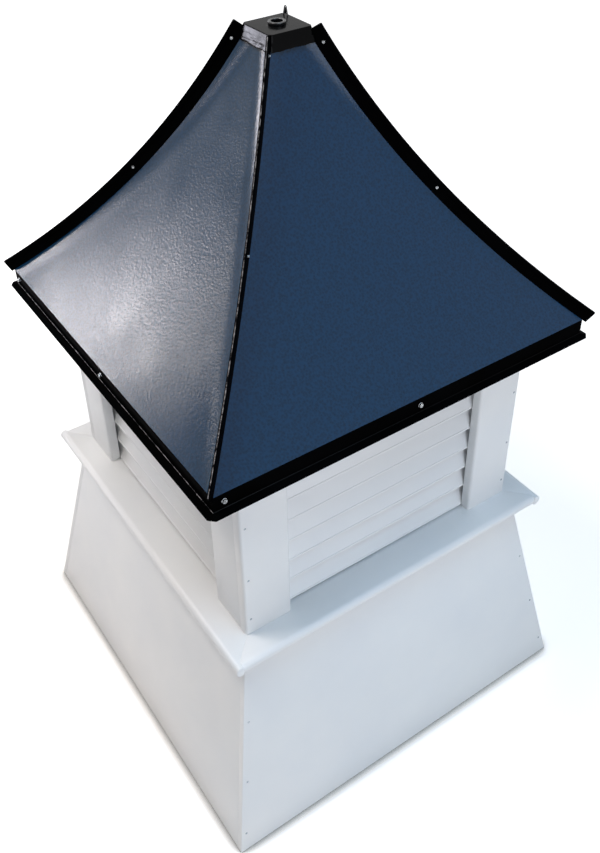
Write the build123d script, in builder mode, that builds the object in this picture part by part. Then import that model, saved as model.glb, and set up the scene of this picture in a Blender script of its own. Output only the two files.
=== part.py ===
from build123d import *
import os
from math import cos, hypot, radians, sin, sqrt

# A roof cupola: a flared skirt, a ledge, four corner posts with louvres between them, and a
# concave square roof of sheet metal. Millimetres, +Z up, origin in the middle of the base at
# the ground. The front faces -Y and the left side faces -X.

# Skirt: flat sheets that lean inwards, the front and back ones lapping the ends of the others
base_width = 762.0
skirt_top_width = 597.0
skirt_height = 424.0
skirt_sheet = 12.7

# Ledge: flat boards with a rounded nose, square-cut at the ends of the two side boards
ledge_overhang = 36.5
ledge_board = 110.0
ledge_thickness = 19.0
ledge_nose = 9.0
ledge_tip = 12.7

# Louvred box: two boards to a corner, with the louvres behind them
box_width = 573.0
box_height = 373.0
post_thickness = 19.0
post_front_face = 89.0
post_side_face = 95.0
post_arris = 5.0
slat_count = 8
slat_thickness = 6.35
slat_tilt = 18.0
slat_lap = 12.0
slat_gap = 5.0
stile_setback = 22.0
stile_thickness = 19.0
stile_depth = 32.0

# Roof: four concave sheets from the eave to the cap
soffit_thickness = 12.7
soffit_board = 128.0
roof_sheet = 1.2
eave_half = 354.6
eave_rise = 27.0
roof_top_half = 33.0
roof_rise = 461.0
roof_sag = 28.0

# Standing ribs along the hips
rib_thickness = 4.5
rib_height = 22.0
rib_overrun = 3.4
rib_points = 9

# Eave trim: a lip under the sheet, an upright face and a hemmed flange that kicks out
trim_sheet = 1.2
trim_lip = 15.0
trim_face = 27.0
flange_width = 12.0
flange_drop = 4.0
flange_hem = 2.6
flange_edge_round = 0.9
trim_bend = 1.8
flange_clip = 8.0

# Cap, vane socket and wire loop
cap_sheet = 1.2
cap_top_width = 74.0
cap_height = 24.0
cap_seat_half = 40.5
cap_slot_clearance = 0.2
cap_slot_reach = 2.5
cap_seat_clearance = 0.2
collar_radius = 13.5
collar_height = 5.0
spigot_radius = 12.0
spigot_length = 25.0
spigot_clearance = 0.2
socket_radius = 9.0
socket_rim_round = 1.0
loop_wire = 2.6
loop_from_edge = 3.0
loop_foot_near = 22.0
loop_foot_far = 34.0
loop_height = 17.0
loop_bend = 2.4

# Sizes that follow from the ones above
skirt_lean = (base_width - skirt_top_width) / 2
base_depth = base_width + 2 * skirt_sheet
skirt_top_depth = skirt_top_width + 2 * skirt_sheet
ledge_half_x = skirt_top_width / 2 + ledge_overhang
ledge_half_y = skirt_top_depth / 2 + ledge_overhang
ledge_top = skirt_height + ledge_thickness
box_half_x = box_width / 2
box_half_y = box_half_x + skirt_sheet
box_top = ledge_top + box_height
slat_pitch = (box_height - slat_gap) / slat_count
eave_height = box_top + eave_rise
roof_top_height = eave_height + roof_rise

# The sheets curve on one circle, seen from the side of the sheet
chord_run = eave_half - roof_top_half
chord = hypot(chord_run, roof_rise)
roof_radius = (chord**2 / 4 + roof_sag**2) / (2 * roof_sag)
curve_half = (eave_half + roof_top_half) / 2 + (roof_radius - roof_sag) * roof_rise / chord
curve_height = (eave_height + roof_top_height) / 2 + (roof_radius - roof_sag) * chord_run / chord

# Side name, and how far its plane is turned from the front
sides = {"front": 0, "right": 90, "back": 180, "left": 270}
# Corner name, and the direction of its hip in plan
corners = {"front_left": 225, "front_right": 315, "back_right": 45, "back_left": 135}


def face_half(side):
    """Distance from the centre line to the face of the louvred box."""
    return box_half_y if side in ("front", "back") else box_half_x


def side_section(side):
    """Upright plane across a side. Its x runs inwards, so the outside lies at minus x."""
    return Plane.YZ.rotated((0, 0, sides[side]))


def roof_height(half):
    """Height of the outside of a roof sheet, at this distance from the centre line."""
    return curve_height - sqrt(roof_radius**2 - (curve_half - half) ** 2)


def roof_slope(half):
    """Fall of a roof sheet for each millimetre outwards."""
    return (curve_half - half) / (curve_height - roof_height(half))


def roof_point(half, depth=0.0):
    """Point in a side section, at this depth square below the outside of the sheet."""
    along = (roof_radius + depth) / roof_radius
    out = curve_half - (curve_half - half) * along
    return (-out, curve_height - (curve_height - roof_height(half)) * along)


def hip_point(half, rise):
    """Point in the upright plane of a hip, this far square above the hip line."""
    fall = roof_slope(half) / sqrt(2)
    size = hypot(1, fall)
    return (half * sqrt(2) + rise * fall / size, roof_height(half) + rise / size)


def corner_planes(side, gap):
    """The two upright planes through the hips beside a side, each moved in by the gap."""
    planes = []
    for turn in (45, 135):
        normal = Vector(1, 0, 0).rotate(Axis.Z, sides[side] + turn)
        planes.append(Plane(origin=-normal * gap, z_dir=normal))
    return planes


def skirt_inside(side):
    """The inner face of a skirt sheet, facing outwards."""
    out = Vector(0, -1, 0).rotate(Axis.Z, sides[side])
    half = (base_depth if side in ("front", "back") else base_width) / 2
    normal = (out * skirt_height + Vector(0, 0, skirt_lean)).normalized()
    return Plane(origin=out * half - normal * skirt_sheet, z_dir=normal)


def skirt_panel(side):
    """A leaning sheet. The side ones stop against the front and back ones."""
    with BuildPart() as panel:
        with BuildSketch(Plane.XY):
            Rectangle(base_width, base_depth)
        with BuildSketch(Plane.XY.offset(skirt_height)):
            Rectangle(skirt_top_width, skirt_top_depth)
        loft()
        split(bisect_by=skirt_inside(side), keep=Keep.TOP)
        if side in ("left", "right"):
            for lapping in ("front", "back"):
                split(bisect_by=skirt_inside(lapping), keep=Keep.BOTTOM)
    return panel.part


def ledge_part(side):
    """A ledge board. The side boards keep a square tip past the ends of the others."""
    if side in ("front", "back"):
        along_half, out_half = ledge_half_x, ledge_half_y
        outline = [(along_half - ledge_tip, -out_half)]
    else:
        along_half, out_half = ledge_half_y, ledge_half_x
        outline = [(along_half, -out_half), (along_half, ledge_tip - out_half)]
    outline.append((along_half - ledge_tip, ledge_tip - out_half))
    outline.append((along_half - ledge_board, ledge_board - out_half))
    outline += [(-x, y) for x, y in reversed(outline)]
    along = Axis((0, 0, 0), Vector(1, 0, 0).rotate(Axis.Z, sides[side]))
    outward = Axis((0, 0, 0), Vector(0, -1, 0).rotate(Axis.Z, sides[side]))
    with BuildPart() as board:
        with BuildSketch(Plane.XY.offset(skirt_height).rotated((0, 0, sides[side]))):
            with BuildLine():
                Polyline(*outline, close=True)
            make_face()
        extrude(amount=ledge_thickness)
        nose_edges = board.edges().filter_by(along).group_by(outward)[-1]
        fillet(nose_edges, radius=ledge_nose)
    return board.part


def post_front_board(x_side, y_side):
    """The wide board of a corner, seen on the front or the back, with its arrises rounded."""
    middle_x = x_side * (box_half_x - post_front_face / 2)
    middle_y = y_side * (box_half_y - post_thickness / 2)
    with BuildPart() as board:
        with BuildSketch(Plane.XY.offset(ledge_top)):
            with Locations((middle_x, middle_y)):
                Rectangle(post_front_face, post_thickness)
        extrude(amount=box_height)
        outer_edges = board.edges().filter_by(Axis.Z).group_by(Axis((0, 0, 0), (0, y_side, 0)))[-1]
        fillet(outer_edges, radius=post_arris)
    return board.part


def post_side_board(x_side, y_side):
    """The board behind it, seen on the left or the right side."""
    length = post_side_face - post_thickness
    middle_x = x_side * (box_half_x - post_thickness / 2)
    middle_y = y_side * (box_half_y - post_thickness - length / 2)
    with BuildPart() as board:
        with BuildSketch(Plane.XY.offset(ledge_top)):
            with Locations((middle_x, middle_y)):
                Rectangle(post_thickness, length)
        extrude(amount=box_height)
        outer = board.edges().filter_by(Axis.Z).group_by(Axis((0, 0, 0), (x_side, 0, 0)))[-1]
        free_edge = outer.sort_by(Axis((0, 0, 0), (0, -y_side, 0)))[-1]
        fillet(free_edge, radius=post_arris)
    return board.part


def stile_inside(side):
    """Distance from the middle of a side to the face of a stile that the slats end on."""
    if side in ("front", "back"):
        return box_half_x - post_front_face + stile_setback
    return box_half_y - post_side_face + stile_setback


def louvre_slats(side):
    """Sloping slats between two stiles, with their lower edges in the plane behind the boards."""
    face = -(face_half(side) - post_thickness)
    up = Vector(sin(radians(slat_tilt)), cos(radians(slat_tilt)))
    back = Vector(cos(radians(slat_tilt)), -sin(radians(slat_tilt)))
    slat_length = (slat_pitch + slat_lap) / cos(radians(slat_tilt))
    with BuildPart() as slats:
        with BuildSketch(side_section(side)):
            for number in range(slat_count):
                foot = Vector(face, ledge_top + slat_gap + number * slat_pitch)
                head = foot + up * slat_length
                depth = back * slat_thickness
                with BuildLine():
                    Polyline(foot, head, head + depth, foot + depth, close=True)
                make_face()
        extrude(amount=stile_inside(side), both=True)
        split(bisect_by=Plane.XY.offset(box_top), keep=Keep.BOTTOM)
    return slats.part


def louvre_stiles(side):
    """The two upright strips behind the boards of the corners that carry the slats' ends."""
    face = -(face_half(side) - post_thickness)
    section = side_section(side)
    with BuildPart() as stiles:
        for end in (1, -1):
            with BuildSketch(section.offset(end * stile_inside(side))):
                with Locations((face, ledge_top)):
                    Rectangle(stile_depth, box_height, align=(Align.MIN, Align.MIN))
            extrude(amount=end * stile_thickness)
    return stiles.part


def soffit_part(side):
    """A mitred board lying on the louvred box, inside the eave trim."""
    outer = -roof_point(eave_half, roof_sheet)[0] - trim_sheet
    inner = outer - soffit_board
    with BuildPart() as board:
        with BuildSketch(Plane.XY.offset(box_top).rotated((0, 0, sides[side]))):
            with BuildLine():
                Polyline((-outer, -outer), (outer, -outer), (inner, -inner), (-inner, -inner), close=True)
            make_face()
        extrude(amount=soffit_thickness)
    return board.part


def roof_panel(side):
    """A sheet bent to the roof's curve, cut off square to itself at the eave and the top."""
    middle = (eave_half + roof_top_half) / 2
    halves = (roof_top_half, middle, eave_half)
    outside = [roof_point(half) for half in halves]
    inside = [roof_point(half, roof_sheet) for half in halves]
    with BuildPart() as panel:
        with BuildSketch(side_section(side)):
            with BuildLine():
                ThreePointArc(*outside)
                ThreePointArc(*inside)
                Line(outside[0], inside[0])
                Line(outside[2], inside[2])
            make_face()
        extrude(amount=eave_half, both=True)
        for plane in corner_planes(side, rib_thickness / 2):
            split(bisect_by=plane, keep=Keep.BOTTOM)
    return panel.part


def hip_rib(corner):
    """An upright seam along a hip, square-cut at both ends."""
    rib_end_half = eave_half + rib_overrun
    step = (rib_end_half - roof_top_half) / (rib_points - 1)
    halves = [roof_top_half + number * step for number in range(rib_points)]
    foot_line = [hip_point(half, -roof_sheet) for half in halves]
    head_line = [hip_point(half, rib_height) for half in halves]
    with BuildPart() as rib:
        with BuildSketch(Plane.XZ.rotated((0, 0, corners[corner]))):
            with BuildLine():
                Spline(*foot_line)
                Spline(*head_line)
                Line(foot_line[0], head_line[0])
                Line(foot_line[-1], head_line[-1])
            make_face()
        extrude(amount=rib_thickness / 2, both=True)
    return rib.part


def eave_trim(side):
    """The trim along one eave, mitred at the corners, with the flange's corners clipped."""
    top_x, top_z = roof_point(eave_half, roof_sheet)
    slope = roof_slope(eave_half)
    size = hypot(1, slope)
    inward = Vector(1 / size, slope / size)
    below = Vector(slope / size, -1 / size)
    top = Vector(top_x, top_z)
    lip_end = top + inward * trim_lip
    lip_under = lip_end + below * trim_sheet
    inner_x = top_x + trim_sheet
    under_corner = Vector(inner_x, lip_under.Y - (lip_under.X - inner_x) * slope)
    bend = Vector(top_x, top_z - trim_face)
    flange_edge = bend + Vector(-flange_width, -flange_drop)
    flange_under = flange_edge - Vector(0, flange_hem)
    inner_foot = Vector(inner_x, bend.Y - flange_hem)
    outline = [lip_end, top, bend, flange_edge, flange_under, inner_foot, under_corner, lip_under]
    clip_distance = (flange_width - top_x) * sqrt(2) - flange_clip
    with BuildPart() as trim:
        with BuildSketch(side_section(side)) as profile:
            with BuildLine():
                Polyline(*outline, close=True)
            make_face()
            for corner, radius in ((bend, trim_bend), (flange_edge, flange_edge_round)):
                fillet(profile.vertices().sort_by_distance(corner)[0], radius=radius)
        extrude(amount=eave_half + flange_width, both=True)
        for plane in corner_planes(side, 0):
            split(bisect_by=plane, keep=Keep.BOTTOM)
        for turn in (-45, -135):
            out = Vector(1, 0, 0).rotate(Axis.Z, sides[side] + turn)
            split(bisect_by=Plane(origin=out * clip_distance, z_dir=out), keep=Keep.BOTTOM)
    return trim.part


def cap_shell():
    """A folded box, open underneath, with its corners slotted for the ribs."""
    low_half = -roof_point(cap_seat_half)[0] + cap_seat_clearance + cap_sheet
    cap_low = roof_height(cap_seat_half)
    slot_start = cap_top_width / sqrt(2) - cap_slot_reach
    with BuildPart() as cap:
        with BuildSketch(Plane.XY.offset(cap_low)):
            Rectangle(2 * low_half, 2 * low_half)
        with BuildSketch(Plane.XY.offset(cap_low + cap_height)):
            Rectangle(cap_top_width, cap_top_width)
        loft()
        offset(amount=-cap_sheet, openings=cap.faces().sort_by(Axis.Z)[0])
        with BuildSketch(Plane.XY.offset(cap_low)):
            for direction in corners.values():
                with Locations(Rot(Z=direction) * Pos(slot_start, 0)):
                    Rectangle(
                        cap_top_width / 2,
                        rib_thickness + 2 * cap_slot_clearance,
                        align=(Align.MIN, Align.CENTER),
                    )
        extrude(amount=cap_height, mode=Mode.SUBTRACT)
        with Locations((0, 0, cap_low + cap_height)):
            Hole(radius=spigot_radius + spigot_clearance)
    return cap.part


def socket_collar():
    """The turned socket that a weather vane's rod drops into."""
    cap_top = roof_height(cap_seat_half) + cap_height
    with BuildPart() as collar:
        with BuildSketch(Plane.XY.offset(cap_top)):
            Circle(collar_radius)
        extrude(amount=collar_height)
        with BuildSketch(Plane.XY.offset(cap_top)):
            Circle(spigot_radius)
        extrude(amount=-spigot_length)
        with Locations((0, 0, cap_top + collar_height)):
            Hole(radius=socket_radius)
        rim = collar.edges().filter_by(GeomType.CIRCLE).group_by(Axis.Z)[-1]
        fillet(rim, radius=socket_rim_round)
    return collar.part


def hook_loop():
    """A hairpin of wire that stands on the cap, near the middle of its right edge."""
    cap_top = roof_height(cap_seat_half) + cap_height
    across = cap_top_width / 2 - loop_from_edge
    with BuildPart() as loop:
        with BuildLine(Plane.YZ.offset(across)) as path:
            FilletPolyline(
                (loop_foot_near, cap_top - loop_wire),
                ((loop_foot_near + loop_foot_far) / 2, cap_top + loop_height + loop_wire),
                (loop_foot_far, cap_top - loop_wire),
                radius=loop_bend,
            )
        with BuildSketch(Plane(origin=path.line @ 0, z_dir=path.line % 0)):
            Circle(loop_wire / 2)
        sweep()
        split(bisect_by=Plane.XY.offset(cap_top), keep=Keep.TOP)
    return loop.part


def save(piece, name):
    """Write a finished piece under its own name."""
    piece.label = name
    export_step(piece, "parts/" + name + ".step")


os.makedirs("parts", exist_ok=True)

for side in sides:
    save(skirt_panel(side), "skirt_" + side)
    save(ledge_part(side), "ledge_" + side)
    save(louvre_slats(side), "louvre_slats_" + side)
    save(louvre_stiles(side), "louvre_stiles_" + side)
    save(soffit_part(side), "soffit_" + side)
    save(roof_panel(side), "roof_" + side)
    save(eave_trim(side), "eave_" + side)

for corner in corners:
    x_side = 1 if corner.endswith("right") else -1
    y_side = 1 if corner.startswith("back") else -1
    save(post_front_board(x_side, y_side), "post_" + corner)
    save(post_side_board(x_side, y_side), "post_return_" + corner)
    save(hip_rib(corner), "hip_rib_" + corner)

save(cap_shell(), "top_cap")
save(socket_collar(), "vane_socket")
save(hook_loop(), "wire_loop")
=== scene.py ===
from math import atan2, cos, hypot, radians, sin, sqrt, tan

import bmesh
import bpy
from mathutils import Matrix, Vector


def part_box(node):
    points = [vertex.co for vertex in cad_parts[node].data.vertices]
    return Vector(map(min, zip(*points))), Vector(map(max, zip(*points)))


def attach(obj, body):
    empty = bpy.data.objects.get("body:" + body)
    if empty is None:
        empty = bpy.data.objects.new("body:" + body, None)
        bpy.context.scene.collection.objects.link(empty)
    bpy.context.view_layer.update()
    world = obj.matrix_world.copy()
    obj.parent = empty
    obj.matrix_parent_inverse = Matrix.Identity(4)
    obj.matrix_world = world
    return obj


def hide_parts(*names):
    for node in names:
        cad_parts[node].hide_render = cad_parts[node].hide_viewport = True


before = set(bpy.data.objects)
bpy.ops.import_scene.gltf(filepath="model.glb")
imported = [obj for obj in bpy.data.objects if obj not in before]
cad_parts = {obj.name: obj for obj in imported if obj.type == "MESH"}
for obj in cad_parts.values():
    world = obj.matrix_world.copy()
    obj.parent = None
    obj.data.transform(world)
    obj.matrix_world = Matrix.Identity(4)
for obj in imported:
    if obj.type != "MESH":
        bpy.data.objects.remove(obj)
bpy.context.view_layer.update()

# Lengths are in metres. The front faces -Y and the left side faces -X.
mm = 0.001

# Turn in degrees of each side from the front, and of each corner from the +X axis
sides = {"front": 0, "right": 90, "back": 180, "left": 270}
corners = {"front_left": 225, "front_right": 315, "back_right": 45, "back_left": 135}

# Camera. Its focus and the place of its axis in the picture are in pixels of the photograph.
photo_width = 600
photo_height = 853
camera_place = (-0.7691, -1.1817, 1.7732)
camera_yaw = radians(-32.937)
camera_fall = radians(35.699)
camera_roll = radians(-1.655)
camera_focus = 973.73
camera_middle = (283.76, 331.61)
camera_sensor = 36.0

# Roof: each sheet bends on one circle
roof_radius = 1424.48 * mm
curve_half = 1339.10 * mm
curve_height = 1872.54 * mm
eave_half = 354.6 * mm
roof_top_half = 33.0 * mm
roof_sheet = 1.2 * mm
roof_columns = 48
roof_rows = 40
sheet_wave = 0.5 * mm
sheet_wave_length = 150 * mm

# The sheets sink between the hips, and bend up into the standing seams
seam_bend = 28 * mm
seam_cuts = 6
sheet_sink_low = 0.6 * mm
sheet_sink_high = 4.4 * mm
sheet_tuck = 0.2 * mm

# Stucco embossing of the roof sheets
pebble_size = 3.8 * mm
ridge_size = 5.5 * mm
pebble_depth = 0.115 * mm

# Ribs: two turned-up sheets, closed by a folded strip
rib_thickness = 4.5 * mm
rib_leaf = 3.2 * mm
rib_height = 22 * mm
rib_strip = 9 * mm
rib_nose = 1.6 * mm
rib_nose_steps = 4
rib_overrun = 3.4 * mm
rib_wave = 0.35 * mm
rib_wave_length = 45 * mm
rib_stations = 72

# Eave trim: one strip of sheet folded four times
trim_sheet = 1.2 * mm
trim_lip = 15 * mm
trim_face = 27 * mm
flange_width = 12 * mm
flange_drop = 4 * mm
flange_clip = 8 * mm
hem_gap = 0.2 * mm
hem_height = 2 * trim_sheet + hem_gap
hem_return = 10.5 * mm
mitre_gap = 0.25 * mm
trim_bend = 1.6 * mm
trim_bend_steps = 3
# The front folds of these sides get bright metal instead of black paint: a painted highlight of the crease
# catching light.
highlit_folds = ("left", "right")

# Faces of the trim's front fold: how near the crease they lie, and how much they look to the front
fold_reach = 0.8 * trim_bend
fold_least = 0.3
fold_most = 0.97

# The trim's upright face: how little its normal leans up or down, and its least area in square metres
upright_most = 0.1
upright_area = 1e-3

# Louvres
slat_count = 8
slat_pitch = 46 * mm
slat_thickness = 6.35 * mm
slat_tilt = radians(18)
slat_lap = 12 * mm
slat_gap = 5 * mm
slat_foot_gap = 3 * mm
slat_end_gap = 4 * mm
slat_edge = 0.5 * mm
slat_bead = 0.9 * mm
slat_bead_height = 3.2 * mm

# Cap. Its skirts are dented, but firm near the top bend.
cap_edge = 0.4 * mm
cap_cuts = 14
cap_firm = 0.35
cap_dent = 2.6 * mm
cap_dent_share = 0.62
cap_dent_length = 7 * mm

# Edges of the boards, eased enough to show each joint as a fine line
board_edge = 0.7 * mm
socket_edge = 0.3 * mm
wire_thinning = 0.4 * mm

# A face is flat to an axis when its normal has at least this share along it
flat = 0.99

# Points closer than these are merged, and so are faces of a CAD copy that turn by less than the angle
merge_sheet = 0.02 * mm
merge_copy = 0.01 * mm
merge_rib = 0.005 * mm
merge_angle = radians(0.3)

# Screws
screw_hex = 6.4 * mm
screw_hex_height = 2.6 * mm
screw_rim = 0.14 * screw_hex
screw_dimple = 0.2 * screw_hex_height
screw_washer = 8.6 * mm
screw_washer_height = 1.0 * mm
eave_screw_drop = 0.5
eave_screw_places = (-0.95, 0.02)
rib_screw_places = (0.03, 0.426)
rib_screw_rise = 10 * mm
rib_screw_size = 0.55

# Nails: how high they stand on the skirt and the posts, and how far in from their edges
nail_head = 4.2 * mm
nail_head_height = 0.35 * mm
nail_rim = 0.2 * nail_head
nail_dimple = 0.6 * nail_head_height
nail_from_edge = 10 * mm
skirt_sheet = 12.7 * mm
skirt_nails = (0.038, 0.152, 0.278)
post_nails = (0.478, 0.571, 0.688)

# Paper floor. It shines from floor_glow_near up to floor_glow_far as it runs out of the lamps' light.
floor_size = 60
floor_inside = 0.35
floor_near = 0.9
floor_far = 2.4
floor_glow_near = 0.55
floor_glow_far = 1.0
# Within shadow_reach of the object, the paper's colour and glow darken by ambient occlusion: a painted
# contact shadow.
shadow_reach = 34 * mm
shadow_deep = 0.5
shadow_end = 0.9

# The lamps look at the middle of the object. The room behind them is nearly dark.
lamp_aim = 0.75
room_light = 0.03


def linear(code):
    """Linear colour of an sRGB hex code."""
    parts = [int(code[start:start + 2], 16) / 255 for start in (1, 3, 5)]
    return [p / 12.92 if p <= 0.04045 else ((p + 0.055) / 1.055) ** 2.4 for p in parts] + [1.0]


def add(tree, kind, settings=None, links=None):
    """Adds a node, sets its sockets or properties, and links its sockets to other outputs."""
    node = tree.nodes.new("ShaderNode" + kind)
    for key, value in (settings or {}).items():
        if key in node.inputs:
            node.inputs[key].default_value = value
        else:
            setattr(node, key, value)
    for key, output in (links or {}).items():
        tree.links.new(output, node.inputs[key])
    return node


def new_tree(name):
    """A new material, and its node tree with nothing in it."""
    material = bpy.data.materials.new(name)
    material.use_nodes = True
    material.node_tree.nodes.clear()
    return material, material.node_tree


def new_material(name, **settings):
    """A material with its shader, and the place of each point in the object's own frame."""
    material, tree = new_tree(name)
    shader = add(tree, "BsdfPrincipled", settings)
    add(tree, "OutputMaterial", links={"Surface": shader.outputs["BSDF"]})
    place = add(tree, "TexCoord").outputs["Object"]
    return material, tree, shader, place


def pattern(tree, place, size, detail=2.0, rough=0.5, stretch=(1, 1, 1)):
    """Soft noise whose blots are about this size, from 0 to 1."""
    spot = add(tree, "Mapping", {"Scale": stretch}, {"Vector": place}).outputs["Vector"]
    settings = {"Scale": 1 / size, "Detail": detail, "Roughness": rough}
    return add(tree, "TexNoise", settings, {"Vector": spot}).outputs["Fac"]


def spread(tree, source, low, high, start=0.3, end=0.7):
    """Stretches a pattern so that its range from start to end runs from low to high."""
    settings = {"From Min": start, "From Max": end, "To Min": low, "To Max": high}
    return add(tree, "MapRange", settings, {"Value": source}).outputs["Result"]


def combined(tree, operation, first, second):
    """One value from two, such as their sum or the larger one."""
    node = add(tree, "Math", {"operation": operation}, {0: first})
    if isinstance(second, float):
        node.inputs[1].default_value = second
    else:
        tree.links.new(second, node.inputs[1])
    return node.outputs["Value"]


def tint(tree, source, first, second):
    """Colour that runs from the first to the second hex code."""
    colour = add(tree, "Mix", {"data_type": "RGBA"}, {"Factor": source})
    colour.inputs["A"].default_value = linear(first)
    colour.inputs["B"].default_value = linear(second)
    return colour.outputs["Result"]


def emboss(tree, shader, height, depth, strength):
    """Raises the surface by a pattern, to this depth."""
    bump = add(tree, "Bump", {"Strength": strength, "Distance": depth}, {"Height": height})
    tree.links.new(bump.outputs["Normal"], shader.inputs["Normal"])


def pvc_board():
    """Cellular PVC trim board, calendered: a satin white skin, faintly uneven, with light dust."""
    material, tree, shader, place = new_material("cellular_pvc_board", IOR=1.52)
    dust = pattern(tree, place, size=160 * mm, detail=3)
    tree.links.new(tint(tree, spread(tree, dust, 0, 1), "#EDEEEF", "#F3F3F2"), shader.inputs["Base Color"])
    handled = pattern(tree, place, size=35 * mm, detail=4)
    tree.links.new(spread(tree, handled, low=0.34, high=0.5), shader.inputs["Roughness"])
    skin = pattern(tree, place, size=2.2 * mm)
    emboss(tree, shader, skin, depth=0.05 * mm, strength=0.12)
    return material


def stucco_sheet():
    """Roof sheet of black painted aluminium, stucco embossed: a low sheen broken up by small pebbles. Its
    navy base colour is a painted reflection of blue sky, lighter on the raised stucco as a painted highlight
    of the grain.
    """
    material, tree, shader, place = new_material("stucco_aluminium_with_painted_sky", IOR=1.5)
    shader.inputs["Specular IOR Level"].default_value = 0.24
    settings = {"Scale": 1 / pebble_size, "feature": "SMOOTH_F1", "Smoothness": 0.6}
    pebbles = add(tree, "TexVoronoi", settings, {"Vector": place}).outputs["Distance"]
    ridges = pattern(tree, place, ridge_size, detail=3, rough=0.65)
    stucco = combined(tree, "ADD", pebbles, ridges)
    height = spread(tree, stucco, 0, 1, start=0.55, end=1.2)
    # Base colour: navy, a painted reflection of blue sky; lighter where the stucco stands high, a painted
    # highlight of the grain.
    tree.links.new(tint(tree, height, "#05283F", "#083351"), shader.inputs["Base Color"])
    worn = pattern(tree, place, size=60 * mm, detail=5, rough=0.6)
    tree.links.new(spread(tree, worn, low=0.13, high=0.17), shader.inputs["Roughness"])
    emboss(tree, shader, stucco, pebble_depth, strength=0.5)
    return material


def black_trim(name, gloss, dull):
    """Coil-coated aluminium, folded: black paint, a little greyer and duller where it was handled."""
    material, tree, shader, place = new_material(name, IOR=1.5)
    shader.inputs["Specular IOR Level"].default_value = gloss
    cloud = pattern(tree, place, size=80 * mm, detail=4)
    tree.links.new(tint(tree, spread(tree, cloud, 0, 1), "#030303", "#060607"), shader.inputs["Base Color"])
    handled = pattern(tree, place, size=22 * mm, detail=5, rough=0.6)
    tree.links.new(spread(tree, handled, low=dull, high=dull + 0.1), shader.inputs["Roughness"])
    film = pattern(tree, place, size=3 * mm)
    emboss(tree, shader, film, depth=0.04 * mm, strength=0.1)
    return material


def painted_highlight_metal():
    """Bright metal line, broken by dark patches and burred by a bump: a painted highlight where light
    catches the rib tops and the eave folds.
    """
    material, tree, shader, place = new_material("painted_highlight_bright_metal", Metallic=1.0)
    highlight_and_burr = pattern(tree, place, size=9 * mm, detail=4, rough=0.7)
    bright_share = spread(tree, highlight_and_burr, 0, 1, start=0.44, end=0.62)
    # Colour runs from near black to bright grey metal: the bright patches are a painted highlight.
    tree.links.new(tint(tree, bright_share, "#08080A", "#7A787A"), shader.inputs["Base Color"])
    tree.links.new(spread(tree, highlight_and_burr, low=0.5, high=0.35), shader.inputs["Roughness"])
    emboss(tree, shader, highlight_and_burr, depth=0.1 * mm, strength=0.3)
    return material


def turned_collar():
    """Turned aluminium socket, black anodised: dark, with a tight bright glint along its rim."""
    material, tree, shader, place = new_material("black_anodised_socket", IOR=1.5, Roughness=0.18)
    rings = pattern(tree, place, size=1.2 * mm, stretch=(0.2, 0.2, 1))
    tree.links.new(tint(tree, spread(tree, rings, 0, 1), "#08080A", "#141416"), shader.inputs["Base Color"])
    emboss(tree, shader, rings, depth=0.03 * mm, strength=0.2)
    return material


def coated_wire():
    """Steel wire with a dipped black coating, thicker in some places than in others."""
    material, tree, shader, place = new_material("dip_coated_wire", IOR=1.5, Roughness=0.35)
    coat = pattern(tree, place, size=4 * mm, detail=3)
    tree.links.new(tint(tree, spread(tree, coat, 0, 1), "#0C0C0D", "#1C1C1D"), shader.inputs["Base Color"])
    emboss(tree, shader, coat, depth=0.1 * mm, strength=0.3)
    return material


def blackened_screw():
    """Blackened steel screw, its coating worn by the driver: dark, with small sharp glints."""
    material, tree, shader, place = new_material("blackened_steel_screw", Metallic=1.0)
    worn = pattern(tree, place, size=1.8 * mm, detail=3)
    tree.links.new(tint(tree, spread(tree, worn, 0, 1), "#1C1E21", "#D4D7DA"), shader.inputs["Base Color"])
    tree.links.new(spread(tree, worn, low=0.25, high=0.1), shader.inputs["Roughness"])
    return material


def nail_steel():
    """Galvanised nail, driven flush: dull grey zinc with a spangle."""
    material, tree, shader, place = new_material("galvanised_nail", Metallic=1.0)
    spangle_size = 1.2 * mm
    spangle = add(tree, "TexVoronoi", {"Scale": 1 / spangle_size}, {"Vector": place}).outputs["Distance"]
    zinc = tint(tree, spread(tree, spangle, 0, 1), "#8A929A", "#B2B8BE")
    tree.links.new(zinc, shader.inputs["Base Color"])
    tree.links.new(spread(tree, spangle, low=0.4, high=0.6), shader.inputs["Roughness"])
    return material


def only(piece):
    """Selects this piece alone and makes it active."""
    bpy.ops.object.select_all(action="DESELECT")
    piece.hide_set(False)
    piece.select_set(True)
    bpy.context.view_layer.objects.active = piece


def edit(piece):
    """Opens this piece alone in edit mode."""
    only(piece)
    bpy.ops.object.mode_set(mode="EDIT")


def close():
    """Goes back from edit mode to object mode."""
    bpy.ops.object.mode_set(mode="OBJECT")


def apply(piece, kind, **settings):
    """Adds a modifier with its settings and applies it."""
    only(piece)
    modifier = piece.modifiers.new(kind.lower(), kind)
    for key, value in settings.items():
        setattr(modifier, key, value)
    bpy.ops.object.modifier_apply(modifier=modifier.name)


def settle(piece):
    """Puts the piece's place into its mesh and leaves its object at the origin."""
    only(piece)
    bpy.ops.object.transform_apply(location=True, rotation=True, scale=True)


def block(middle, size):
    """A new block, as the start of a board or a strip."""
    bpy.ops.object.select_all(action="DESELECT")
    bpy.ops.mesh.primitive_cube_add(size=1, location=middle, scale=size)
    piece = bpy.context.active_object
    settle(piece)
    return piece


def disc(radius, height, base=0.0, edges=24):
    """A new cylinder that stands on this base height, as the start of a screw or a nail."""
    bpy.ops.object.select_all(action="DESELECT")
    bpy.ops.mesh.primitive_cylinder_add(vertices=edges, radius=radius, depth=height,
                                        location=(0, 0, base + height / 2))
    return bpy.context.active_object


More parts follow.
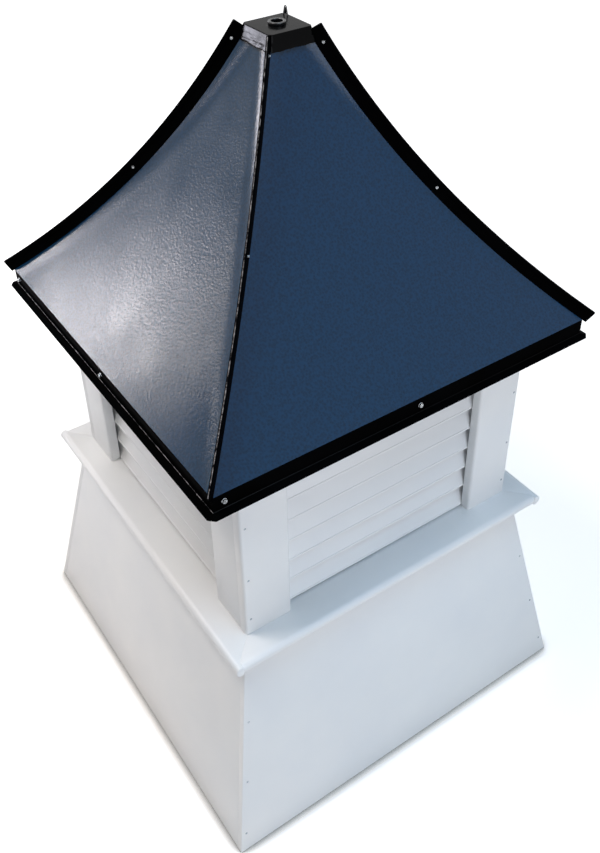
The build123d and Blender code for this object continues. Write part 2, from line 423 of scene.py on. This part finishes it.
def select(piece, faces=None, edges=None, points=None):
    """In edit mode, selects the faces, edges or points for which the test is true."""
    bpy.ops.mesh.select_all(action="DESELECT")
    mode = "FACE" if faces else "EDGE" if edges else "VERT"
    bpy.ops.mesh.select_mode(type=mode)
    mesh = bmesh.from_edit_mesh(piece.data)
    for item in {"FACE": mesh.faces, "EDGE": mesh.edges, "VERT": mesh.verts}[mode]:
        item.select_set(bool((faces or edges or points)(item)))
    mesh.select_flush_mode()
    bmesh.update_edit_mesh(piece.data)


def cut(place, normal, drop=False, fill=False):
    """In edit mode, cuts the whole mesh along a plane, and may drop what lies past it."""
    bpy.ops.mesh.select_all(action="SELECT")
    bpy.ops.mesh.bisect(plane_co=place, plane_no=normal, clear_outer=drop, use_fill=fill)


def push(offset):
    """In edit mode, extrudes what is selected by this much."""
    bpy.ops.mesh.extrude_region_move(TRANSFORM_OT_translate={"value": offset})


def ease(piece, width, segments=2, sharper_than=30):
    """Rounds the edges that turn by more than this many degrees."""
    apply(piece, "BEVEL", width=width, segments=segments, limit_method="ANGLE",
          angle_limit=radians(sharper_than))


def smooth(piece, angle=40):
    """Shades the faces as one surface, but for edges that turn by more than this many degrees."""
    only(piece)
    bpy.ops.object.shade_smooth_by_angle(angle=radians(angle))


def clouds(name, size, depth=2):
    """A soft cloud texture for waves and dents. Each step of depth adds finer ones."""
    texture = bpy.data.textures.new(name, "CLOUDS")
    texture.noise_scale = size
    texture.noise_depth = depth
    return texture


def join(pieces):
    """Joins the pieces as the first one."""
    only(pieces[0])
    for piece in pieces[1:]:
        piece.select_set(True)
    bpy.ops.object.join()
    return pieces[0]


def turned_copy(piece, turn):
    """A copy with its own mesh, turned about the upright middle line."""
    other = piece.copy()
    other.data = piece.data.copy()
    bpy.context.scene.collection.objects.link(other)
    other.data.transform(Matrix.Rotation(radians(turn), 4, "Z"))
    return other


def node_copy(node):
    """A copy of a carried-over node with its own mesh, its triangles merged into flat faces."""
    piece = bpy.data.objects.new(node + "_finished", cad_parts[node].data.copy())
    bpy.context.scene.collection.objects.link(piece)
    edit(piece)
    bpy.ops.mesh.select_all(action="SELECT")
    bpy.ops.mesh.remove_doubles(threshold=merge_copy)
    bpy.ops.mesh.dissolve_limited(angle_limit=merge_angle)
    close()
    return piece


def face_outwards(piece, merge=0.0, faces_in=None):
    """Merges doubles, makes the faces agree, and turns them round if the test finds they face in."""
    edit(piece)
    bpy.ops.mesh.select_all(action="SELECT")
    if merge:
        bpy.ops.mesh.remove_doubles(threshold=merge)
    bpy.ops.mesh.normals_make_consistent(inside=False)
    close()
    if faces_in and faces_in(piece.data.polygons):
        bpy.ops.object.mode_set(mode="EDIT")
        bpy.ops.mesh.flip_normals()
        close()


def second_material(piece, material, test):
    """Gives the piece's faces that pass the test a second material."""
    piece.data.materials.append(material)
    for face in piece.data.polygons:
        if test(face):
            face.material_index = len(piece.data.materials) - 1


def finish_piece(piece, name, material, nodes=()):
    """Names a finished piece, gives it its material and sets it on the object."""
    piece.name = name
    piece.data.name = name
    if material:
        piece.data.materials.clear()
        piece.data.materials.append(material)
    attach(piece, "root")
    if nodes:
        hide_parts(*nodes)


def eased_board(node, material, edge=board_edge):
    """A board or a turned piece whose sharp edges are eased."""
    piece = node_copy(node)
    ease(piece, edge, sharper_than=35)
    smooth(piece)
    finish_piece(piece, node + "_finished", material, [node])


def roof_height(half):
    """Height of the roof's surface at this distance from the upright middle plane."""
    return curve_height - sqrt(roof_radius**2 - (curve_half - half) ** 2)


def roof_slope(half):
    """Rise of the roof's surface for each metre inwards, at this distance from the middle plane."""
    return (curve_half - half) / (curve_height - roof_height(half))


def keep_between_hips(piece, gap):
    """Cuts off what lies past the hip planes beside the front side, less this gap."""
    edit(piece)
    for sign in (1, -1):
        normal = Vector((sign, 1, 0)).normalized()
        cut(-normal * gap, normal, drop=True)
    close()


def turn_up_to_seams(sheet):
    """Sinks the sheet between the hips, so that it bends up into the standing seams."""
    edge = rib_leaf / 2 - sheet_tuck
    edit(sheet)
    for sign in (1, -1):
        normal = Vector((sign, 1, 0)).normalized()
        for number in range(1, seam_cuts + 1):
            cut(-normal * (edge + seam_bend * number / seam_cuts), normal)
    close()
    low, high = roof_height(eave_half), roof_height(roof_top_half)
    for vertex in sheet.data.vertices:
        from_hip = (-vertex.co.y - abs(vertex.co.x)) / sqrt(2) - edge
        share = (vertex.co.z - low) / (high - low)
        sink = sheet_sink_low + (sheet_sink_high - sheet_sink_low) * share
        bend = 1 - min(max(from_hip / seam_bend, 0), 1)
        outward = Vector((0, -roof_slope(-vertex.co.y), 1)).normalized()
        vertex.co -= outward * sink * (1 - bend**2)


def faces_down(faces):
    """Whether an open sheet looks down more than up."""
    return sum(face.normal.z * face.area for face in faces) < 0


def roof_sheets(material):
    """Each sheet is a line at the eave, spun up the curve, trimmed at the hips and thickened."""
    low = atan2(roof_height(eave_half) - curve_height, curve_half - eave_half)
    high = atan2(roof_height(roof_top_half) - curve_height, curve_half - roof_top_half)
    bpy.ops.object.select_all(action="DESELECT")
    bpy.ops.mesh.primitive_grid_add(x_subdivisions=roof_columns, y_subdivisions=1, size=2 * eave_half,
                                    location=(0, -2 * eave_half, roof_height(eave_half)))
    sheet = bpy.context.active_object
    settle(sheet)
    edit(sheet)
    select(sheet, points=lambda point: point.co.y < -2 * eave_half)
    bpy.ops.mesh.delete(type="VERT")
    bpy.ops.mesh.select_all(action="SELECT")
    bpy.ops.mesh.spin(steps=roof_rows, angle=low - high, center=(0, -curve_half, curve_height),
                      axis=(1, 0, 0))
    close()
    keep_between_hips(sheet, rib_leaf / 2 - sheet_tuck)
    turn_up_to_seams(sheet)
    face_outwards(sheet, merge_sheet, faces_down)
    waves = clouds("sheet_waves", sheet_wave_length, depth=1)
    apply(sheet, "DISPLACE", texture=waves, texture_coords="LOCAL", strength=sheet_wave, mid_level=0.5)
    apply(sheet, "SOLIDIFY", thickness=roof_sheet, offset=-1)
    smooth(sheet)
    for side, turn in sides.items():
        piece = turned_copy(sheet, turn)
        finish_piece(piece, "roof_sheet_" + side, material, ["roof_" + side])
    bpy.data.objects.remove(sheet)


def hip_curve():
    """The line that the ribs follow, in the upright plane of the hip that runs along +X."""
    low_half = eave_half + rib_overrun
    data = bpy.data.curves.new("hip_line", "CURVE")
    data.dimensions = "3D"
    spline = data.splines.new("POLY")
    spline.points.add(rib_stations)
    for number, point in enumerate(spline.points):
        half = low_half + (roof_top_half - low_half) * number / rib_stations
        point.co = (half * sqrt(2), 0, roof_height(half), 1)
    line = bpy.data.objects.new("hip_line", data)
    bpy.context.scene.collection.objects.link(line)
    return line


def strip_along(length, low, high, thickness, nose=0.0):
    """A flat strip on edge along X from the origin, cut into short lengths."""
    strip = block((length / 2, 0, (low + high) / 2), (length, thickness, high - low))
    if nose:
        ease(strip, nose, segments=rib_nose_steps)
    edit(strip)
    for number in range(1, rib_stations):
        cut((length * number / rib_stations, 0, 0), (1, 0, 0))
    close()
    return strip


def hip_ribs(material, rib_top_highlight):
    """Each rib is two turned-up sheets with a folded strip over their edges, bent along the hip."""
    line = hip_curve()
    points = [point.co.to_3d() for point in line.data.splines[0].points]
    length = sum((b - a).length for a, b in zip(points, points[1:]))
    leaf = strip_along(length, -roof_sheet, rib_height - rib_nose, rib_leaf)
    strip = strip_along(length, rib_height - rib_strip, rib_height, rib_thickness, rib_nose)
    strip.data.materials.append(material)
    leaf.data.materials.append(material)
    # The flat tops of the ribs get bright metal: a painted highlight of the nose catching light.
    second_material(strip, rib_top_highlight, lambda face: face.normal.z > flat)
    waves = clouds("rib_waves", rib_wave_length)
    apply(strip, "DISPLACE", texture=waves, texture_coords="LOCAL", direction="Y",
          strength=2 * rib_wave, mid_level=0.5)
    rib = join([strip, leaf])
    apply(rib, "CURVE", object=line, deform_axis="POS_X")
    face_outwards(rib, merge_rib)
    smooth(rib)
    for corner, turn in corners.items():
        piece = turned_copy(rib, turn)
        finish_piece(piece, "rib_" + corner, None, ["hip_rib_" + corner])
    bpy.data.objects.remove(rib)
    bpy.data.objects.remove(line)


def trim_folds():
    """The trim's strip in its cross-section: its lip under the roof sheet, and each fold in turn."""
    under = 1 + roof_sheet / roof_radius
    top_height = curve_height - (curve_height - roof_height(eave_half)) * under
    top = Vector((0, (curve_half - eave_half) * under - curve_half, top_height))
    lip_end = top + Vector((0, 1, roof_slope(eave_half))).normalized() * trim_lip
    bend = top + Vector((0, 0, -trim_face))
    edge = bend + Vector((0, -flange_width, -flange_drop))
    turned = edge + Vector((0, 0, trim_sheet - hem_height))
    hem_end = turned + Vector((0, hem_return, 0))
    return lip_end, top, bend, edge, turned, hem_end


def fascia_faces_in(faces):
    """Whether the trim's upright face looks at the building."""
    upright = [face for face in faces if abs(face.normal.z) < upright_most and face.area > upright_area]
    return bool(upright) and upright[0].normal.y > 0


def eave_trims(material, fold_material, fold_highlight):
    """One strip of sheet is folded along the eave, mitred at the hips, clipped and thickened."""
    lip_end, top, bend, edge, turned, hem_end = trim_folds()
    middle = (lip_end + top) / 2
    tilt = atan2(roof_slope(eave_half), 1)
    bpy.ops.object.select_all(action="DESELECT")
    bpy.ops.mesh.primitive_plane_add(size=1, location=middle, rotation=(tilt, 0, 0))
    trim = bpy.context.active_object
    trim.scale = (2 * (eave_half + flange_width), trim_lip, 1)
    settle(trim)
    edit(trim)
    select(trim, edges=lambda line: all(point.co.y < middle.y for point in line.verts))
    for start, end in ((top, bend), (bend, edge), (edge, turned), (turned, hem_end)):
        push(end - start)
    close()
    keep_between_hips(trim, mitre_gap)
    edit(trim)
    clip = (eave_half + flange_width) * sqrt(2) - flange_clip
    for sign in (1, -1):
        normal = Vector((sign, -1, 0)).normalized()
        cut(normal * clip, normal, drop=True)
    close()
    ease(trim, trim_bend, segments=trim_bend_steps, sharper_than=20)
    trim.data.materials.append(material)
    second_material(trim, fold_material, lambda face: abs(face.center.z - bend.z) < fold_reach
                    and fold_least < abs(face.normal.y) < fold_most)
    face_outwards(trim, faces_in=fascia_faces_in)
    apply(trim, "SOLIDIFY", thickness=trim_sheet, offset=-1, use_even_offset=True)
    smooth(trim)
    for side, turn in sides.items():
        piece = turned_copy(trim, turn)
        # On the left and right trims the front fold gets bright metal: a painted highlight.
        if side in highlit_folds:
            piece.data.materials[1] = fold_highlight
        finish_piece(piece, "eave_trim_" + side, None, ["eave_" + side])
    bpy.data.objects.remove(trim)


def front_slat(number, half_length, face):
    """A slat of the front louvre: a board with a bead along its foot, tilted back from there."""
    post_low, post_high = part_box("post_front_left")
    drop = slat_gap - slat_foot_gap if number == 0 else 0
    foot_height = post_low.z + slat_gap + number * slat_pitch - drop
    tall = (slat_pitch + slat_lap + drop) / cos(slat_tilt)
    slat = block((0, slat_thickness / 2, tall / 2), (2 * half_length, slat_thickness, tall))
    edit(slat)
    cut((0, 0, slat_bead_height), (0, 0, 1))
    select(slat, faces=lambda f: f.normal.y < -flat and f.calc_center_median().z < slat_bead_height)
    push((0, -slat_bead, 0))
    close()
    slat.rotation_euler.x = -slat_tilt
    slat.location = (0, face - drop * tan(slat_tilt), foot_height)
    settle(slat)
    edit(slat)
    cut((0, 0, post_high.z), (0, 0, 1), drop=True, fill=True)
    close()
    ease(slat, slat_edge)
    return slat


def louvre_slats(side, turn, material):
    """The slats of one side. They are made at the front and turned to their side."""
    to_front = Matrix.Rotation(radians(-turn), 4, "Z")
    box = [to_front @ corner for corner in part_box("louvre_slats_" + side)]
    half_length = max(abs(corner.x) for corner in box) - slat_end_gap
    face = min(corner.y for corner in box)
    bank = join([front_slat(number, half_length, face) for number in range(slat_count)])
    piece = turned_copy(bank, turn)
    bpy.data.objects.remove(bank)
    smooth(piece)
    finish_piece(piece, "slats_" + side, material, ["louvre_slats_" + side])


def cap_box(material):
    """The cap's folded box. Its skirts were dressed down by hand, so their lower edges are dented."""
    piece = node_copy("top_cap")
    low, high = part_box("top_cap")
    edit(piece)
    for number in range(1, cap_cuts):
        share = number / cap_cuts
        for axis in range(3):
            place, normal = Vector((0, 0, 0)), Vector((0, 0, 0))
            place[axis] = low[axis] + (high[axis] - low[axis]) * share
            normal[axis] = 1
            cut(place, normal)
    close()
    dented = piece.vertex_groups.new(name="dented")
    for vertex in piece.data.vertices:
        fall = (high.z - vertex.co.z) / (high.z - low.z)
        dented.add([vertex.index], max(0.0, fall - cap_firm) / (1 - cap_firm), "REPLACE")
    dents = clouds("cap_dents", cap_dent_length)
    apply(piece, "DISPLACE", texture=dents, texture_coords="LOCAL", vertex_group="dented",
          strength=-cap_dent, mid_level=cap_dent_share)
    ease(piece, cap_edge, sharper_than=50)
    smooth(piece, angle=35)
    finish_piece(piece, "cap_box", material, ["top_cap"])


def wire_loop(material):
    """The hairpin of wire on the cap, drawn a little thinner."""
    piece = node_copy("wire_loop")
    apply(piece, "DISPLACE", strength=-wire_thinning, mid_level=0)
    smooth(piece)
    finish_piece(piece, "wire_loop_finished", material, ["wire_loop"])


def dimple(piece, rim, depth):
    """Sinks the top of a head inside its rim."""
    edit(piece)
    select(piece, faces=lambda face: face.normal.z > flat)
    bpy.ops.mesh.inset(thickness=rim)
    push((0, 0, -depth))
    close()


def washer_screw():
    """A hexagon-head screw with its washer, standing up from the origin along +Z."""
    washer = disc(screw_washer / 2, screw_washer_height)
    ease(washer, screw_washer_height / 3)
    head = disc(screw_hex / sqrt(3), screw_hex_height, base=screw_washer_height, edges=6)
    dimple(head, screw_rim, screw_dimple)
    ease(head, screw_hex_height / 8)
    screw = join([washer, head])
    settle(screw)
    smooth(screw)
    return screw


def flush_nail():
    """A nail's head, just proud of the board, with the hammer's dimple in the middle."""
    head = disc(nail_head / 2, nail_head_height, edges=20)
    dimple(head, nail_rim, nail_dimple)
    ease(head, nail_head_height / 4, segments=1)
    settle(head)
    smooth(head)
    return head


def placed(fixing, spots, turn):
    """Copies of a fixing at spots of place and outward direction, joined and turned to their side."""
    copies = []
    for spot, out in spots:
        other = turned_copy(fixing, 0)
        stand = Vector(out).to_track_quat("Z", "Y").to_matrix().to_4x4()
        other.data.transform(Matrix.Translation(spot) @ stand)
        copies.append(other)
    group = join(copies)
    group.data.transform(Matrix.Rotation(radians(turn), 4, "Z"))
    return group


def eave_screws(screw, material):
    """Screws through the upright face of each eave trim."""
    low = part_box("eave_front")[0]
    face = -low.y - flange_width
    height = low.z + hem_height + flange_drop + trim_face * (1 - eave_screw_drop)
    spots = [((share * face, -face, height), (0, -1, 0)) for share in eave_screw_places]
    for side, turn in sides.items():
        finish_piece(placed(screw, spots, turn), "eave_screws_" + side, material)


def rib_screws(screw, material):
    """Small screws that close each rib, on both of its flanks."""
    small_screw = turned_copy(screw, 0)
    small_screw.data.transform(Matrix.Scale(rib_screw_size, 4))
    spots = []
    for share in rib_screw_places:
        half = roof_top_half + (eave_half - roof_top_half) * share
        fall = roof_slope(half) / sqrt(2)
        rise = rib_screw_rise / hypot(1, fall)
        middle = Vector((half * sqrt(2) + rise * fall, 0, roof_height(half) + rise))
        for flank in (1, -1):
            spots.append((middle + Vector((0, flank * rib_leaf / 2, 0)), (0, flank, 0)))
    for corner, turn in corners.items():
        finish_piece(placed(small_screw, spots, turn), "rib_screws_" + corner, material)
    bpy.data.objects.remove(small_screw)


def board_nails(nail, material):
    """Nails along the edges of the front and back skirts and corner posts."""
    low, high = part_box("skirt_front")
    lean = (high.y - low.y - skirt_sheet) / (high.z - low.z)
    post_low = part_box("post_front_left")[0]
    spots = []
    for height in skirt_nails:
        across = high.x - lean * height - nail_from_edge
        for x in (across, -across):
            spots.append(((x, low.y + lean * height, height), (0, -1, lean)))
    for height in post_nails:
        across = -post_low.x - nail_from_edge
        for x in (across, -across):
            spots.append(((x, post_low.y, height), (0, -1, 0)))
    for side in ("front", "back"):
        finish_piece(placed(nail, spots, sides[side]), "board_nails_" + side, material)


def seen_directly(tree):
    """1 for a ray from the camera, a reflection or clear glass, and 0 for light that falls on things."""
    rays = add(tree, "LightPath").outputs
    seen = combined(tree, "MAXIMUM", rays["Is Camera Ray"], rays["Is Glossy Ray"])
    return combined(tree, "MAXIMUM", seen, rays["Is Transmission Ray"])


def paper_floor():
    """Matt white paper. It looks evenly white, and close to the object its colour darkens by ambient
    occlusion: a painted contact shadow.
    """
    bpy.ops.object.select_all(action="DESELECT")
    bpy.ops.mesh.primitive_plane_add(size=floor_size)
    floor = bpy.context.active_object
    floor.name = "paper_floor"
    material, tree = new_tree("matt_white_paper")
    seen = seen_directly(tree)
    nook = add(tree, "AmbientOcclusion", {"Distance": shadow_reach}).outputs["AO"]
    lit = spread(tree, nook, 0, 1, start=shadow_deep, end=shadow_end)
    past_painted_shadow = combined(tree, "MAXIMUM", lit, spread(tree, seen, 1, 0, start=0, end=1))
    # Seen directly, the paper darkens from #F9F4EE to #3C3A36 near the object: a painted contact shadow.
    paper = add(tree, "BsdfDiffuse", links={"Color": tint(tree, past_painted_shadow, "#3C3A36", "#F9F4EE")})
    place = add(tree, "TexCoord").outputs["Object"]
    reach = add(tree, "VectorMath", {"operation": "LENGTH"}, {"Vector": place}).outputs["Value"]
    glow = spread(tree, reach, floor_glow_near, floor_glow_far, start=floor_near, end=floor_far)
    outside = combined(tree, "GREATER_THAN", reach, floor_inside)
    # The glow fades near the object too, as part of the painted contact shadow.
    for share in (seen, outside, past_painted_shadow):
        glow = combined(tree, "MULTIPLY", glow, share)
    shine = add(tree, "Emission", links={"Strength": glow})
    both = add(tree, "AddShader", links={0: paper.outputs["BSDF"], 1: shine.outputs["Emission"]})
    add(tree, "OutputMaterial", links={"Surface": both.outputs["Shader"]})
    floor.data.materials.append(material)


def studio_room():
    """A dim room for the light, seen as white."""
    world = bpy.data.worlds.new("studio_room")
    bpy.context.scene.world = world
    world.use_nodes = True
    tree = world.node_tree
    tree.nodes.clear()
    dim = add(tree, "Background", {"Color": linear("#D8E4F2"), "Strength": room_light})
    white = add(tree, "Background", {"Color": linear("#FFFFFF"), "Strength": 1.0})
    backgrounds = {1: dim.outputs["Background"], 2: white.outputs["Background"]}
    room = add(tree, "MixShader", links={"Fac": seen_directly(tree), **backgrounds})
    add(tree, "OutputWorld", links={"Surface": room.outputs["Shader"]})


def lamp(name, azimuth, height, distance, width, tall, power, colour):
    """A soft box in this direction in degrees, that looks at the middle of the object."""
    data = bpy.data.lights.new(name, "AREA")
    data.shape = "RECTANGLE"
    data.size = width
    data.size_y = tall
    data.energy = power
    data.color = linear(colour)[:3]
    box = bpy.data.objects.new(name, data)
    bpy.context.scene.collection.objects.link(box)
    level = cos(radians(height))
    out = Vector((cos(radians(azimuth)) * level, sin(radians(azimuth)) * level, sin(radians(height))))
    box.location = Vector((0, 0, lamp_aim)) + out * distance
    box.rotation_euler = out.to_track_quat("Z", "Y").to_euler()


def near_lamps():
    """Soft boxes around the object."""
    lamp("soft_left", azimuth=156, height=62, distance=3.0, width=1.0, tall=1.0, power=50, colour="#FFF9F4")
    lamp("soft_front", azimuth=-90, height=13, distance=3.0, width=1.8, tall=1.8, power=35, colour="#F0F5FF")
    lamp("soft_sky", azimuth=-62, height=68, distance=3.0, width=1.8, tall=1.8, power=45, colour="#B9E0FF")
    lamp("soft_back", azimuth=92, height=20, distance=3.5, width=1.8, tall=1.8, power=20, colour="#F6FAFF")
    lamp("cap_glint", azimuth=126, height=5, distance=3.0, width=0.3, tall=0.2, power=10, colour="#F0F0FF")


def far_lamps():
    """Narrow lamps far away. The left roof sheet and its bends at the seams mirror them."""
    far = 20.0
    lamp("roof_glint", azimuth=125.8, height=16.15, distance=far, width=2.3, tall=0.35, power=182,
         colour="#FFFAFC")
    lamp("roof_sheen", azimuth=131, height=16.9, distance=far, width=2.1, tall=0.5, power=72,
         colour="#FFF6EE")
    lamp("near_seam_glint", azimuth=116, height=2.8, distance=far, width=1.2, tall=1.1, power=100,
         colour="#FFF8FC")
    lamp("far_seam_glint", azimuth=138, height=8.6, distance=far, width=1.3, tall=0.4, power=90,
         colour="#FFF8FC")


def camera():
    """The camera of the photograph: its axis passes beside the middle of the picture."""
    data = bpy.data.cameras.new("camera")
    data.sensor_fit = "AUTO"
    data.sensor_width = camera_sensor
    data.lens = camera_focus * camera_sensor / photo_height
    data.shift_x = (photo_width / 2 - camera_middle[0]) / photo_height
    data.shift_y = (camera_middle[1] - photo_height / 2) / photo_height
    eye = bpy.data.objects.new("camera", data)
    bpy.context.scene.collection.objects.link(eye)
    forward = cos(camera_fall)
    ahead = Vector((-sin(camera_yaw) * forward, cos(camera_yaw) * forward, -sin(camera_fall)))
    level = Vector((cos(camera_yaw), sin(camera_yaw), 0))
    above = level.cross(ahead)
    across = cos(camera_roll) * level + sin(camera_roll) * above
    upward = -sin(camera_roll) * level + cos(camera_roll) * above
    turn = Matrix((across, upward, -ahead)).transposed()
    eye.matrix_world = Matrix.Translation(camera_place) @ turn.to_4x4()
    bpy.context.scene.camera = eye


white = pvc_board()
roof_paint_and_painted_sky = stucco_sheet()
trim_paint = black_trim("coil_coated_black_aluminium", gloss=0.001, dull=0.16)
cap_paint = black_trim("glossy_black_aluminium", gloss=0.05, dull=0.12)
fold_paint = black_trim("burnished_black_fold", gloss=0.05, dull=0.12)
highlight_finish = painted_highlight_metal()
screw_finish = blackened_screw()
nail_finish = nail_steel()

for side, turn in sides.items():
    for part in ("skirt_", "ledge_", "soffit_", "louvre_stiles_"):
        eased_board(part + side, white)
    louvre_slats(side, turn, white)
for corner in corners:
    eased_board("post_" + corner, white)
    eased_board("post_return_" + corner, white)

roof_sheets(roof_paint_and_painted_sky)
hip_ribs(trim_paint, highlight_finish)
eave_trims(trim_paint, fold_paint, highlight_finish)
cap_box(cap_paint)

screw = washer_screw()
nail = flush_nail()
eave_screws(screw, screw_finish)
rib_screws(screw, screw_finish)
board_nails(nail, nail_finish)
bpy.data.objects.remove(screw)
bpy.data.objects.remove(nail)

eased_board("vane_socket", turned_collar(), socket_edge)
wire_loop(coated_wire())

near_lamps()
far_lamps()
paper_floor()
studio_room()
camera()
bpy.context.scene.view_settings.view_transform = "Standard"
